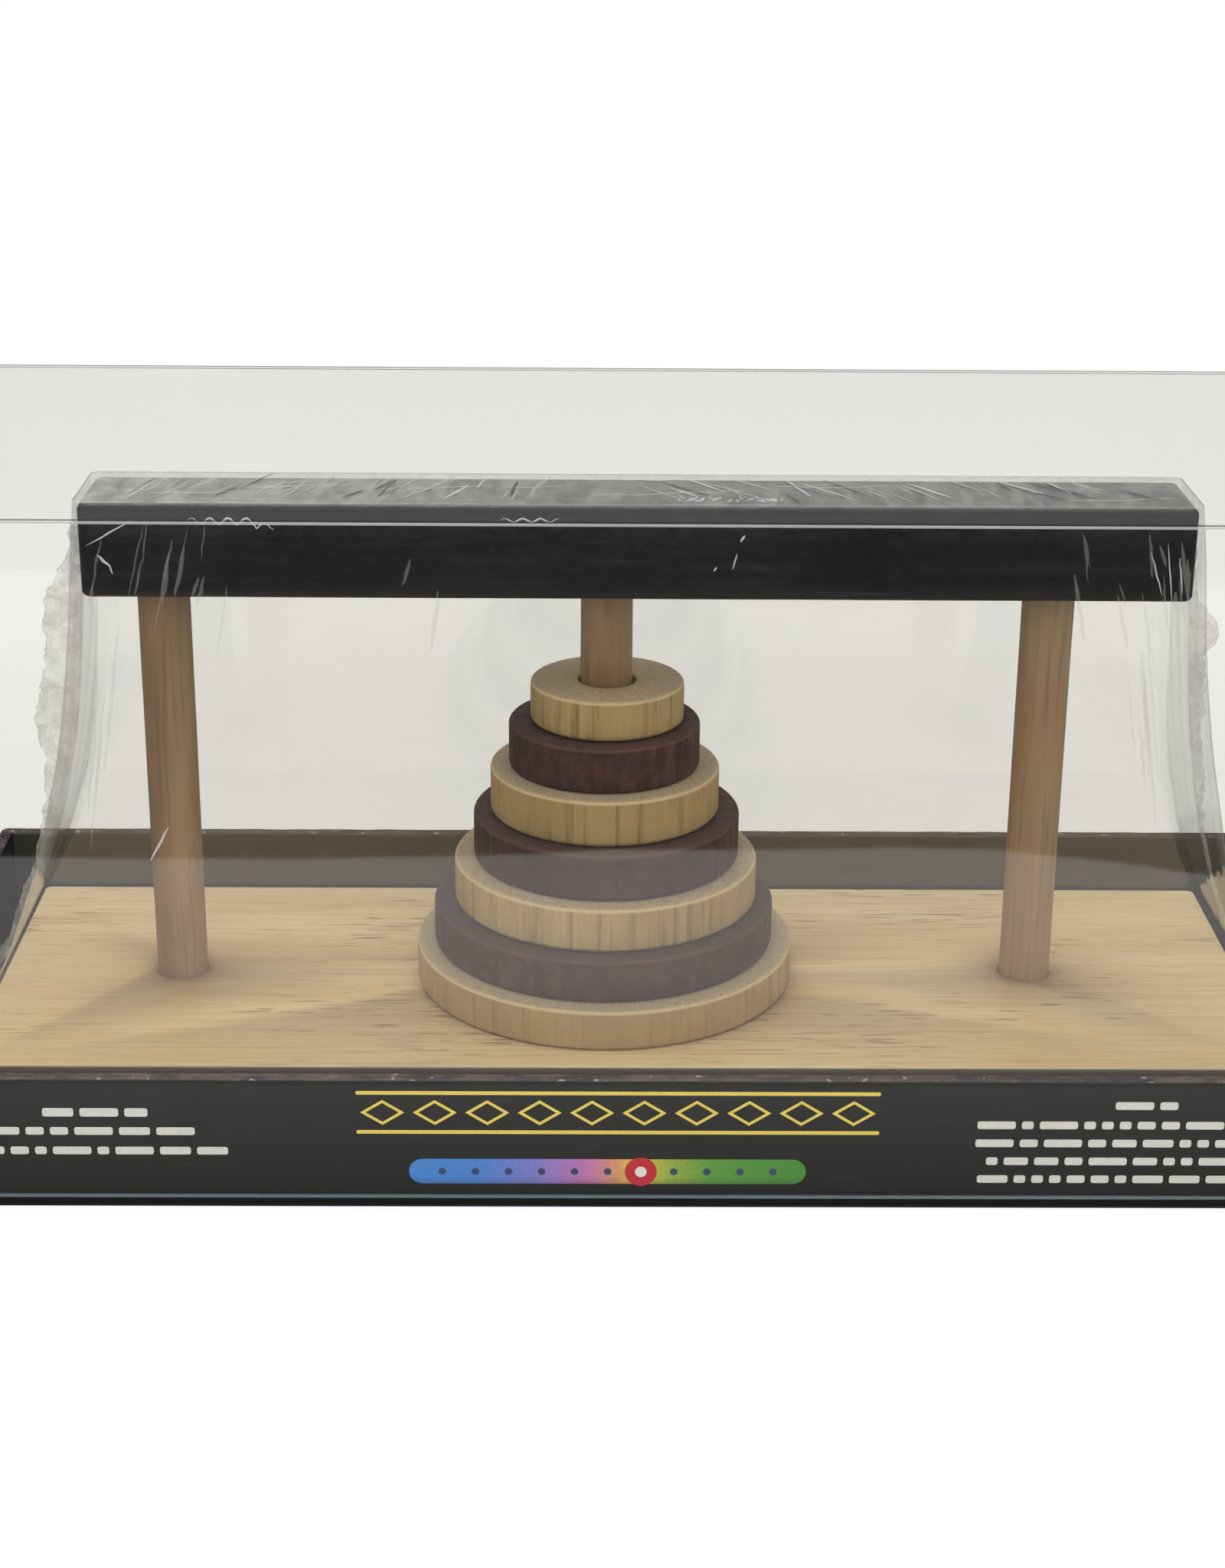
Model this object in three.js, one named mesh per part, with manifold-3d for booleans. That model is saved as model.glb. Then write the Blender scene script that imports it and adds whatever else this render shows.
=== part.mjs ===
// Seven-disk tower puzzle in its display box.
// Millimetres, +Z up, +X to the right, +Y to the back.
// Origin: middle of the display tray's footprint, on the surface it stands on.
import * as THREE from 'three';
import { mergeVertices } from 'three/addons/utils/BufferGeometryUtils.js';
import Module from 'manifold-3d';

// ---------- driving dimensions ----------
const GAP = 0.3;                     // air left between pieces that rest on each other

// display tray: folded black card with doubled walls
const TRAY_L = 284.0, TRAY_W = 126.7, TRAY_H = 27.1;
const TRAY_WALL = 3.0, TRAY_FLOOR = 1.5;

// clear rigid cover, slipped over the outside of the tray
const COVER_FIT = 0.4;               // air between tray wall and cover wall
const COVER_T = 0.6;                 // sheet thickness
const COVER_TOP = 134.0;             // height of its top face
const COVER_LOW = 2.6;               // height of its lower edge

// middle post: the puzzle's own centre, measured from the tray's centre
const PX = -4.4, PY = -15.8;

// base board
const BOARD_TOP = 27.8;
const BOARD_X0 = -120.7, BOARD_X1 = 128.5;   // from the middle post
const BOARD_Y0 = -43.6, BOARD_Y1 = 42.8;
const BOARD_EDGE = 0.6;              // eased edges

// posts, glued into blind holes
const POST_SPACING = 85.0;
const POST_R = 5.05, POST_UP = 80.75, POST_DEEP = 18.0;
const POST_FIT = 0.15;               // glue gap around the post
const POST_CHAMFER = 0.6;
const POST_SEG = 28;

// disks, listed from the smallest (top) to the largest (bottom)
const DISK_R1 = 15.0, DISK_STEP = 3.75;
const DISK_BORE_R = 5.6;
const DISK_T = [8.18, 9.12, 9.42, 9.55, 8.95, 8.71, 8.2];
const DISK_SHIFT = [0.2, -0.3, -0.15, 0.2, 0.1, -0.25, 0.0];  // slack on the post
const DISK_GAP = 0.2;                // air under every disk
const DISK_EDGE = 0.9;               // rounded rims
const DISK_SEG = 44;

// packing bar that lies across the post tops
const BAR_X0 = -98.8, BAR_X1 = 110.5; // from the middle post
const BAR_HALF = 10.8;
const BAR_LOW = 81.05, BAR_HIGH = 99.2; // above the board
const BAR_EDGE = 1.0;

// shrink film drawn down from the bar to the board's sides
const FILM_T = 0.35;
// inner surface: height above the board, left, right, front, back
const FILM_RINGS = [
  [-12.0, -121.3, 129.1, -43.9, 43.1],
  [  0.5, -121.3, 129.1, -43.9, 43.1],
  [  8.0, -116.6, 125.2, -41.2, 40.4],
  [ 20.0, -111.0, 120.6, -37.0, 36.3],
  [ 35.0, -106.0, 116.6, -32.0, 31.5],
  [ 52.0, -102.4, 113.8, -26.5, 26.2],
  [ 68.0, -100.7, 112.3, -21.4, 21.2],
  [ 81.0,  -99.7, 111.4, -17.2, 17.1],
  [ 99.6,  -99.2, 110.9, -11.2, 11.2],
];
const FILM_CORNER = [0.8, 0.8, 2.0, 3.0, 3.4, 3.2, 2.6, 1.6, 0.8];  // corner radius of each ring

// ---------- materials ----------
const mat = (color, roughness, metalness = 0, opacity = 1) =>
  new THREE.MeshStandardMaterial({ color, roughness, metalness, opacity, transparent: opacity < 1 });
const boardWood = () => mat(0xdcc69a, 0.5);
const postWood = () => mat(0x9a7d58, 0.6);
const lightWood = () => mat(0xb8a274, 0.55);
const darkWood = () => mat(0x4a2c30, 0.6);

// ---------- booleans ----------
const wasm = await Module();
wasm.setup();

function toSolid(geometry) {
  const g = geometry.clone();
  g.deleteAttribute('normal');
  g.deleteAttribute('uv');
  const m = mergeVertices(g, 1e-5);
  return new wasm.Manifold(new wasm.Mesh({
    numProp: 3,
    vertProperties: new Float32Array(m.attributes.position.array),
    triVerts: new Uint32Array(m.index.array),
  }));
}

function toGeometry(solid) {
  const m = solid.getMesh();
  const g = new THREE.BufferGeometry();
  g.setAttribute('position', new THREE.BufferAttribute(new Float32Array(m.vertProperties), 3));
  g.setIndex(new THREE.BufferAttribute(new Uint32Array(m.triVerts), 1));
  g.computeVertexNormals();
  return g;
}

// ---------- shapes ----------
// A block with eased edges, lying between two corners.
function easedBlock(x0, x1, y0, y1, z0, z1, edge) {
  const s = new THREE.Shape();
  s.moveTo(x0 + edge, y0 + edge);
  s.lineTo(x1 - edge, y0 + edge);
  s.lineTo(x1 - edge, y1 - edge);
  s.lineTo(x0 + edge, y1 - edge);
  s.closePath();
  const g = new THREE.ExtrudeGeometry(s, {
    depth: z1 - z0 - 2 * edge, bevelEnabled: true,
    bevelThickness: edge, bevelSize: edge, bevelOffset: 0, bevelSegments: 1, steps: 1,
  });
  g.translate(0, 0, z0 + edge);
  return g;
}

// A round peg standing on z0, with a chamfered top end.
function peg(r, z0, z1, chamfer, seg) {
  const pts = [
    new THREE.Vector2(0, z0),
    new THREE.Vector2(r, z0),
    new THREE.Vector2(r, z1 - chamfer),
    new THREE.Vector2(r - chamfer, z1),
    new THREE.Vector2(0, z1),
  ];
  const g = new THREE.LatheGeometry(pts, seg);
  g.rotateX(Math.PI / 2);
  return g;
}

// A flat ring with rounded rims, from z = 0 up to z = t.
function ring(rIn, rOut, t, edge, seg) {
  const d = edge * (1 - Math.SQRT1_2);
  const b = 0.4;                     // small break at the bore
  const pts = [
    [rIn, b], [rIn + b, 0], [rOut - edge, 0], [rOut - d, d], [rOut, edge],
    [rOut, t - edge], [rOut - d, t - d], [rOut - edge, t], [rIn + b, t], [rIn, t - b], [rIn, b],
  ].map(([x, y]) => new THREE.Vector2(x, y));
  const g = new THREE.LatheGeometry(pts, seg);
  g.rotateX(Math.PI / 2);
  return g;
}

// A box open on one side: an outer block less an inner block.
function openBox(l, w, z0, z1, wall, skin, openAtTop) {
  const outer = new THREE.BoxGeometry(l, w, z1 - z0);
  outer.translate(0, 0, (z0 + z1) / 2);
  const i0 = openAtTop ? z0 + skin : z0 - 5, i1 = openAtTop ? z1 + 5 : z1 - skin;
  const inner = new THREE.BoxGeometry(l - 2 * wall, w - 2 * wall, i1 - i0);
  inner.translate(0, 0, (i0 + i1) / 2);
  return toGeometry(toSolid(outer).subtract(toSolid(inner)));
}

// Outline of a rectangle with rounded corners, always with the same number of points.
function roundedOutline(x0, x1, y0, y1, r) {
  const pts = [], steps = 3;
  const corners = [[x1 - r, y0 + r, -90], [x1 - r, y1 - r, 0], [x0 + r, y1 - r, 90], [x0 + r, y0 + r, 180]];
  for (const [cx, cy, a0] of corners)
    for (let i = 0; i <= steps; i++) {
      const a = THREE.MathUtils.degToRad(a0 + 90 * i / steps);
      pts.push([cx + r * Math.cos(a), cy + r * Math.sin(a)]);
    }
  return pts;
}

// A thin tent: stacked outlines inside and outside, closed on top, open at the bottom.
function tent(rings, radii, t) {
  const pos = [], idx = [];
  const n = 16, m = rings.length;
  for (const side of [0, 1])          // 0 outside, 1 inside
    rings.forEach(([z, x0, x1, y0, y1], k) => {
      const o = side === 0 ? t : 0;
      const zz = (k === m - 1 && side === 0) ? z + t : z;
      for (const [x, y] of roundedOutline(x0 - o, x1 + o, y0 - o, y1 + o, radii[k] + o)) pos.push(x, y, zz);
    });
  const at = (side, k, i) => side * n * m + k * n + (i % n);
  const quad = (a, b, c, d) => idx.push(a, b, c, a, c, d);
  for (let i = 0; i < n; i++) {
    for (let k = 0; k < m - 1; k++) {
      quad(at(0, k, i), at(0, k, i + 1), at(0, k + 1, i + 1), at(0, k + 1, i));
      quad(at(1, k, i + 1), at(1, k, i), at(1, k + 1, i), at(1, k + 1, i + 1));
    }
    quad(at(1, 0, i), at(1, 0, i + 1), at(0, 0, i + 1), at(0, 0, i));
  }
  for (let i = 1; i < n - 1; i++) {
    idx.push(at(0, m - 1, 0), at(0, m - 1, i), at(0, m - 1, i + 1));
    idx.push(at(1, m - 1, 0), at(1, m - 1, i + 1), at(1, m - 1, i));
  }
  const g = new THREE.BufferGeometry();
  g.setAttribute('position', new THREE.Float32BufferAttribute(pos, 3));
  g.setIndex(idx);
  g.computeVertexNormals();
  return g;
}

function named(name, geometry, material) {
  const mesh = new THREE.Mesh(geometry, material);
  mesh.name = name;
  return mesh;
}

// ---------- the object ----------
const object = new THREE.Group();

object.add(named('display_tray',
  openBox(TRAY_L, TRAY_W, 0, TRAY_H, TRAY_WALL, TRAY_FLOOR, true), mat(0x202226, 0.35)));

object.add(named('clear_cover',
  openBox(TRAY_L + 2 * (COVER_FIT + COVER_T), TRAY_W + 2 * (COVER_FIT + COVER_T),
    COVER_LOW, COVER_TOP, COVER_T, COVER_T, false), mat(0xf4f6f4, 0.05, 0, 0.2)));

// Everything below is placed from the middle post, with z = 0 on the board's top.
const puzzle = new THREE.Group();
puzzle.position.set(PX, PY, BOARD_TOP);
object.add(puzzle);

// base board with three blind holes
const boardLow = TRAY_FLOOR + GAP - BOARD_TOP;
let board = toSolid(easedBlock(BOARD_X0, BOARD_X1, BOARD_Y0, BOARD_Y1, boardLow, 0, BOARD_EDGE));
for (const k of [-1, 0, 1]) {
  const hole = peg(POST_R + POST_FIT, -POST_DEEP - GAP, 5, 0.1, POST_SEG);
  hole.translate(k * POST_SPACING, 0, 0);
  board = board.subtract(toSolid(hole));
}
puzzle.add(named('base_board', toGeometry(board), boardWood()));

for (const [name, k] of [['left_post', -1], ['centre_post', 0], ['right_post', 1]]) {
  const post = named(name, peg(POST_R, -POST_DEEP, POST_UP, POST_CHAMFER, POST_SEG), postWood());
  post.position.x = k * POST_SPACING;
  puzzle.add(post);
}

// disks: 7 is the largest and lowest, 1 the smallest and highest
let z = 0;
for (let n = 7; n >= 1; n--) {
  const t = DISK_T[n - 1];
  const disk = named(`disk_${n}`,
    ring(DISK_BORE_R, DISK_R1 + DISK_STEP * (n - 1), t - DISK_GAP, DISK_EDGE, DISK_SEG),
    n % 2 ? lightWood() : darkWood());
  disk.position.set(DISK_SHIFT[n - 1], 0, z + DISK_GAP);
  puzzle.add(disk);
  z += t;
}

puzzle.add(named('packing_bar',
  easedBlock(BAR_X0, BAR_X1, -BAR_HALF, BAR_HALF, BAR_LOW, BAR_HIGH, BAR_EDGE), mat(0x26282a, 0.4)));

puzzle.add(named('shrink_film', tent(FILM_RINGS, FILM_CORNER, FILM_T), mat(0xeef0ee, 0.1, 0, 0.15)));

export default object;
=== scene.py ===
"""Boxed seven-disk tower puzzle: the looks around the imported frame."""
import math
import random

import bmesh
import bpy
import numpy as np
from mathutils import Matrix, Vector, noise


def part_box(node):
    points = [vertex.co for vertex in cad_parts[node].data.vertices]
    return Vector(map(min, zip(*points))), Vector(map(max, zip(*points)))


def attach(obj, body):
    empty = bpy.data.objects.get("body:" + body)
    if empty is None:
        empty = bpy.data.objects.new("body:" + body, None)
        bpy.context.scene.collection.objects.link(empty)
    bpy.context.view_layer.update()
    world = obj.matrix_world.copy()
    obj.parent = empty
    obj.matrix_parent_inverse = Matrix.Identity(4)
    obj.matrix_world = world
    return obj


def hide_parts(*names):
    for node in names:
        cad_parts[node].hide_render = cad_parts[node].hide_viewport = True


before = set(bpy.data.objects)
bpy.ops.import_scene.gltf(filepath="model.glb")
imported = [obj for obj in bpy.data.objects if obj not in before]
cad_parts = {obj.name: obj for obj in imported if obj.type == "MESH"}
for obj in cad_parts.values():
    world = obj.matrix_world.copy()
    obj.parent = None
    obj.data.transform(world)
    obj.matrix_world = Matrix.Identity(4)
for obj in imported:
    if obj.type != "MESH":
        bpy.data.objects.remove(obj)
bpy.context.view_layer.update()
MM = 0.001
random.seed(7)

# the puzzle's own centre: middle post's axis and the board's top face, in mm
PX, PY, BT = -4.4, -15.8, 27.8


# ---------------------------------------------------------------- node helpers
class Mat:
    def __init__(self, name):
        self.m = bpy.data.materials.new(name)
        self.m.use_nodes = True
        self.nt = self.m.node_tree
        self.nt.nodes.clear()
        self.out = self.add("ShaderNodeOutputMaterial")

    def add(self, kind, inputs=None, **props):
        n = self.nt.nodes.new(kind)
        for k, v in props.items():
            setattr(n, k, v)
        for k, v in (inputs or {}).items():
            self.put(n, k, v)
        return n

    def put(self, n, key, v):
        s = n.inputs[key]
        if isinstance(v, bpy.types.NodeSocket):
            self.nt.links.new(v, s)
        elif isinstance(v, bpy.types.Node):
            self.nt.links.new(v.outputs[0], s)
        else:
            s.default_value = v

    def coords(self, scale=(1, 1, 1), loc=(0, 0, 0)):
        if not hasattr(self, "tc"):
            self.tc = self.add("ShaderNodeTexCoord")
        return self.add("ShaderNodeMapping", {"Vector": self.tc.outputs["Object"], "Scale": scale, "Location": loc})

    def noise(self, vec, scale, detail=3.0, rough=0.55, dist=0.0):
        return self.add("ShaderNodeTexNoise", {"Vector": vec, "Scale": scale, "Detail": detail,
                                               "Roughness": rough, "Distortion": dist}).outputs["Fac"]

    def ramp(self, fac, stops, interp="LINEAR"):
        n = self.add("ShaderNodeValToRGB", {"Fac": fac})
        r = n.color_ramp
        r.interpolation = interp
        while len(r.elements) < len(stops):
            r.elements.new(0.5)
        for e, (p, c) in zip(r.elements, stops):
            e.position = p
            e.color = c if len(c) == 4 else (*c, 1)
        return n.outputs["Color"]

    def mix(self, fac, a, b, blend="MIX"):
        n = self.add("ShaderNodeMix", data_type="RGBA", blend_type=blend)
        for i, v in ((0, fac), (6, a), (7, b)):
            if isinstance(v, bpy.types.NodeSocket):
                self.nt.links.new(v, n.inputs[i])
            elif isinstance(v, (int, float)):
                n.inputs[i].default_value = v
            else:
                n.inputs[i].default_value = v if len(v) == 4 else (*v, 1)
        return n.outputs[2]

    def math(self, op, a, b=0.0, clamp=False):
        n = self.add("ShaderNodeMath", operation=op, use_clamp=clamp)
        for i, v in ((0, a), (1, b)):
            if isinstance(v, bpy.types.NodeSocket):
                self.nt.links.new(v, n.inputs[i])
            else:
                n.inputs[i].default_value = v
        return n.outputs[0]

    def range(self, v, a, b, c=0.0, d=1.0, smooth=True):
        n = self.add("ShaderNodeMapRange", {"Value": v, "From Min": a, "From Max": b, "To Min": c, "To Max": d})
        n.interpolation_type = "SMOOTHSTEP" if smooth else "LINEAR"
        return n.outputs[0]

    def bump(self, h, dist, strength=1.0, normal=None):
        d = {"Height": h, "Distance": dist, "Strength": strength}
        if normal is not None:
            d["Normal"] = normal
        return self.add("ShaderNodeBump", d).outputs["Normal"]

    def finish(self, shader):
        self.nt.links.new(shader if isinstance(shader, bpy.types.NodeSocket) else shader.outputs[0],
                          self.out.inputs["Surface"])
        return self.m


def lin(r, g, b):
    """sRGB 0-255 to linear."""
    def f(c):
        c /= 255.0
        return c / 12.92 if c <= 0.04045 else ((c + 0.055) / 1.055) ** 2.4
    return (f(r), f(g), f(b), 1.0)


def principled(s, base, rough, normal=None, spec=0.5, coat=0.0, coat_rough=0.2, ior=1.5):
    n = s.add("ShaderNodeBsdfPrincipled", {"Base Color": base, "Roughness": rough,
                                           "Specular IOR Level": spec, "IOR": ior,
                                           "Coat Weight": coat, "Coat Roughness": coat_rough})
    if normal is not None:
        s.put(n, "Normal", normal)
    return n


# ---------------------------------------------------------------- wood
def wood_upright(name, c_lo, c_mid, c_hi, c_streak, c_top, streak=0.5, seed=0.0, top_mix=0.75,
                 rough=0.52, mottle=0.12, c_rim_highlight=(0.6, 0.5, 0.3, 1), edge=0.6):
    """Wood whose fibres run upright: fine streaks on the sides, pores on the end grain, and a painted highlight on the
    rounded rims.
    """
    s = Mat(name)
    loc = (seed, seed * 0.7, seed * 0.3)
    broad = s.noise(s.coords((26, 26, 7), loc), 1.0, 3.0, 0.5, 0.4)
    fine = s.noise(s.coords((640, 640, 22), loc), 1.0, 3.0, 0.62)
    hair = s.noise(s.coords((1100, 1100, 60), loc), 1.0, 2.0, 0.6)
    mott = s.noise(s.coords((330, 330, 210), loc), 1.0, 3.0, 0.7)
    col = s.ramp(broad, [(0.30, c_lo), (0.5, c_mid), (0.72, c_hi)])
    f = s.range(fine, 0.50, 0.70, 0.0, streak)
    patch = s.range(s.noise(s.coords((34, 34, 20), (seed + 3, 1, 2)), 1.0, 2.0), 0.36, 0.60, 0.25, 1.0)
    col = s.mix(s.range(mott, 0.36, 0.66, 0.0, mottle), col, c_streak)
    col = s.mix(s.math("MULTIPLY", f, patch), col, c_streak)
    col = s.mix(s.range(hair, 0.35, 0.75, 0.0, 0.40), col, c_lo)
    geo = s.add("ShaderNodeNewGeometry")
    nz = s.add("ShaderNodeSeparateXYZ", {"Vector": geo.outputs["Normal"]}).outputs["Z"]
    # painted highlight: the rounded rims, found by the upright part of the normal, are mixed towards the light rim
    # colour (edge sets how far), standing in for the light they catch
    wear_and_rim_highlight = s.math("MULTIPLY", s.range(nz, 0.12, 0.4), s.range(nz, 0.95, 0.7, 0.0, edge))
    col = s.mix(wear_and_rim_highlight, col, c_rim_highlight)
    top = s.range(nz, 0.75, 0.97, 0.0, top_mix)
    pores = s.noise(s.coords((1, 1, 1), loc), 1500.0, 2.0, 0.7)
    end = s.mix(s.range(pores, 0.40, 0.70), c_top, tuple(0.62 * v for v in c_top[:3]))
    end = s.mix(s.range(s.noise(s.coords((1, 1, 1), loc), 170.0, 3.0), 0.35, 0.7, 0.0, 0.35), end, c_hi)
    col = s.mix(top, col, end)
    h = s.math("ADD", s.math("MULTIPLY", fine, 0.6), s.math("MULTIPLY", hair, 0.4))
    nrm = s.bump(h, 0.00012, 0.5)
    r = s.range(fine, 0.3, 0.7, rough - 0.06, rough + 0.1)
    return s.finish(principled(s, col, r, nrm, 0.35))


def wood_board():
    s = Mat("board_wood_grain")
    broad = s.noise(s.coords((7, 42, 42), (0.3, 0.1, 0)), 1.0, 4.0, 0.55, 0.6)
    bands = s.noise(s.coords((3.2, 95, 95), (1.3, 0.4, 0)), 1.0, 3.0, 0.5, 0.3)
    fine = s.noise(s.coords((34, 900, 900)), 1.0, 3.0, 0.6)
    flecks = s.noise(s.coords((110, 1100, 1100), (2, 5, 0)), 1.0, 1.0, 0.5)
    col = s.ramp(broad, [(0.28, lin(214, 184, 136)), (0.5, lin(228, 203, 156)), (0.74, lin(240, 219, 176))])
    col = s.mix(s.range(bands, 0.42, 0.72, 0.0, 0.42), col, lin(206, 172, 122))
    col = s.mix(s.range(fine, 0.40, 0.70, 0.0, 0.60), col, lin(204, 170, 122))
    area = s.range(s.noise(s.coords((14, 40, 40), (4, 2, 0)), 1.0, 2.0), 0.42, 0.66, 0.1, 0.8)
    fl = s.math("MULTIPLY", s.range(flecks, 0.60, 0.69), area)
    col = s.mix(s.math("MULTIPLY", fl, 0.85), col, lin(138, 100, 66))
    geo = s.add("ShaderNodeNewGeometry")
    nz = s.add("ShaderNodeSeparateXYZ", {"Vector": geo.outputs["Normal"]}).outputs["Z"]
    # painted shade: the board's sides and underside, and the lower part of its rounded top edge, are mixed almost fully
    # to dark brown, standing in for the shadow along its front edge
    col = s.mix(s.range(nz, 0.80, 0.45, 0.0, 0.9), col, s.mix(s.range(fine, 0.35, 0.7), lin(44, 34, 28), lin(74, 58, 44)))
    h = s.math("SUBTRACT", s.math("MULTIPLY", fine, 0.5), s.math("MULTIPLY", fl, 0.8))
    nrm = s.bump(h, 0.00014, 0.45)
    return s.finish(principled(s, col, s.range(fine, 0.3, 0.7, 0.38, 0.5), nrm, 0.4, coat=0.12, coat_rough=0.28))


def wood_post():
    s = Mat("post_wood_dowel")
    broad = s.noise(s.coords((120, 120, 9), (0.2, 0.6, 0)), 1.0, 3.0, 0.5, 0.5)
    fine = s.noise(s.coords((900, 900, 34)), 1.0, 3.0, 0.6)
    warm = s.noise(s.coords((60, 60, 36), (5, 5, 1)), 1.0, 2.0)
    col = s.ramp(broad, [(0.28, lin(134, 106, 76)), (0.52, lin(157, 130, 98)), (0.75, lin(172, 146, 112))])
    col = s.mix(s.range(warm, 0.48, 0.7, 0.0, 0.5), col, lin(160, 118, 86))
    col = s.mix(s.range(fine, 0.5, 0.75, 0.0, 0.5), col, lin(112, 84, 58))
    nrm = s.bump(fine, 0.00014, 0.5)
    return s.finish(principled(s, col, s.range(fine, 0.3, 0.7, 0.46, 0.6), nrm, 0.35))


M_BOARD = wood_board()
M_POST = wood_post()


def light_wood(i):
    return wood_upright(f"light_wood_{i}", lin(164, 138, 92), lin(184, 157, 108), lin(197, 172, 124),
                        lin(104, 72, 42), lin(198, 180, 153), streak=0.62, seed=i * 3.1,
                        c_rim_highlight=lin(214, 192, 148), edge=0.7)


def dark_wood(i):
    return wood_upright(f"dark_wood_{i}", lin(70, 41, 40), lin(84, 51, 49), lin(98, 63, 60),
                        lin(46, 25, 26), lin(92, 72, 70), streak=0.5, seed=i * 2.3, top_mix=0.55,
                        rough=0.58, mottle=0.75, c_rim_highlight=lin(112, 84, 80), edge=0.4)


# ---------------------------------------------------------------- black parts, card, print
def black_bar():
    s = Mat("black_bar_stain")
    grain = s.noise(s.coords((16, 520, 520)), 1.0, 3.0, 0.6)
    cloud = s.noise(s.coords((22, 60, 60), (1, 2, 3)), 1.0, 3.0)
    col = s.ramp(cloud, [(0.3, (0.004, 0.004, 0.006)), (0.55, (0.008, 0.008, 0.010)), (0.8, (0.016, 0.012, 0.011))])
    col = s.mix(s.range(grain, 0.5, 0.72, 0.0, 0.5), col, (0.026, 0.024, 0.024))
    nrm = s.bump(grain, 0.0001, 0.4)
    return s.finish(principled(s, col, s.range(cloud, 0.3, 0.7, 0.26, 0.4), nrm, 0.35))


def black_card():
    s = Mat("black_card_fold")
    sep = s.add("ShaderNodeSeparateXYZ", {"Vector": s.coords().outputs[0]})
    z = sep.outputs["Z"]
    fibre = s.noise(s.coords((1, 1, 1)), 900.0, 3.0, 0.6)
    cloud = s.noise(s.coords((30, 30, 30)), 1.0, 3.0)
    col = s.mix(s.range(cloud, 0.3, 0.7), (0.020, 0.021, 0.025), (0.028, 0.029, 0.034))
    wear_and_rim_highlight = s.noise(s.coords((140, 320, 320), (2, 2, 2)), 1.0, 4.0, 0.7)
    rim = s.range(z, 0.0265, 0.0268)
    border = s.math("MULTIPLY", s.range(z, 0.0256, 0.0257), s.range(z, 0.0266, 0.0265))
    col = s.mix(s.math("MULTIPLY", border, 0.95), col, (0.001, 0.001, 0.001))
    rim_wear_and_glint = s.mix(s.range(wear_and_rim_highlight, 0.34, 0.66), lin(34, 27, 30), lin(96, 80, 78))
    # painted glints: small white-lavender spots on the worn rim fold
    glint_spots = s.range(s.noise(s.coords((420, 700, 700), (9, 1, 1)), 1.0, 2.0), 0.64, 0.72)
    rim_wear_and_glint = s.mix(s.math("MULTIPLY", glint_spots, 0.8), rim_wear_and_glint, lin(196, 186, 196))
    col = s.mix(s.math("MULTIPLY", rim, 0.9), col, rim_wear_and_glint)
    nrm_y = s.add("ShaderNodeSeparateXYZ", {"Vector": s.add("ShaderNodeNewGeometry").outputs["Normal"]}).outputs["Y"]
    # painted light: the inside face of the back wall is lightened to a grey-brown, standing in for the brighter haze it
    # shows through the film and lid
    back_wall_painted_light = s.math("MULTIPLY", s.range(sep.outputs["Y"], 0.055, 0.057), s.range(nrm_y, -0.5, -0.8))
    col = s.mix(s.math("MULTIPLY", back_wall_painted_light, 0.9), col, (0.072, 0.068, 0.060))
    foot = s.range(z, 0.0026, 0.0030, 1.0, 0.0)
    col = s.mix(s.math("MULTIPLY", foot, 0.85), col, lin(28, 38, 52))
    nrm = s.bump(s.math("ADD", fibre, s.math("MULTIPLY", wear_and_rim_highlight, 0.5)), 0.00003, 0.4)
    return s.finish(principled(s, col, s.range(cloud, 0.3, 0.7, 0.38, 0.48), nrm, 0.45))


def print_ink(name, c, rough=0.35, vary=0.06):
    s = Mat(name)
    grainy = s.noise(s.coords((1, 1, 1)), 1400.0, 2.0, 0.6)
    soft = s.noise(s.coords((60, 60, 60)), 1.0, 2.0)
    lo = tuple(v * (1 - 2 * vary) for v in c[:3])
    col = s.mix(s.range(grainy, 0.3, 0.7), lo, c)
    col = s.mix(s.range(soft, 0.35, 0.65, 0.0, 0.35), col, lo)
    nrm = s.bump(grainy, 0.00002, 0.3)
    return s.finish(principled(s, col, rough, nrm, 0.4))


def gradient_ink():
    s = Mat("scale_gradient_ink")
    x = s.add("ShaderNodeSeparateXYZ", {"Vector": s.coords().outputs[0]}).outputs["X"]
    t = s.range(x, -0.0413, 0.0335, 0.0, 1.0, smooth=False)
    col = s.ramp(t, [(0.0, lin(64, 138, 224)), (0.18, lin(72, 132, 220)), (0.32, lin(128, 128, 214)),
                     (0.44, lin(196, 118, 190)), (0.52, lin(226, 150, 110)), (0.57, lin(226, 206, 70)),
                     (0.66, lin(150, 178, 62)), (0.76, lin(92, 160, 58)), (1.0, lin(72, 146, 56))])
    grainy = s.noise(s.coords((1, 1, 1)), 1400.0, 2.0, 0.6)
    col = s.mix(s.range(grainy, 0.3, 0.7, 0.0, 0.14), col, (0.02, 0.02, 0.03))
    z = s.add("ShaderNodeSeparateXYZ", {"Vector": s.coords().outputs[0]}).outputs["Z"]
    col = s.mix(s.range(z, 0.0052, 0.0068, 0.30, 0.0), col, (0.01, 0.02, 0.05))
    return s.finish(principled(s, col, 0.35, s.bump(grainy, 0.00002, 0.3), 0.4))


# ---------------------------------------------------------------- clear sheet and film
def schlick(s, normal=None, f0=0.04, slope=1.0):
    lw = s.add("ShaderNodeLayerWeight", {"Blend": 0.5})
    if normal is not None:
        s.put(lw, "Normal", normal)
    p = s.math("POWER", lw.outputs["Facing"], 5.0)
    return s.math("ADD", s.math("MULTIPLY", p, (1.0 - f0) * slope), f0, clamp=True)


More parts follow.
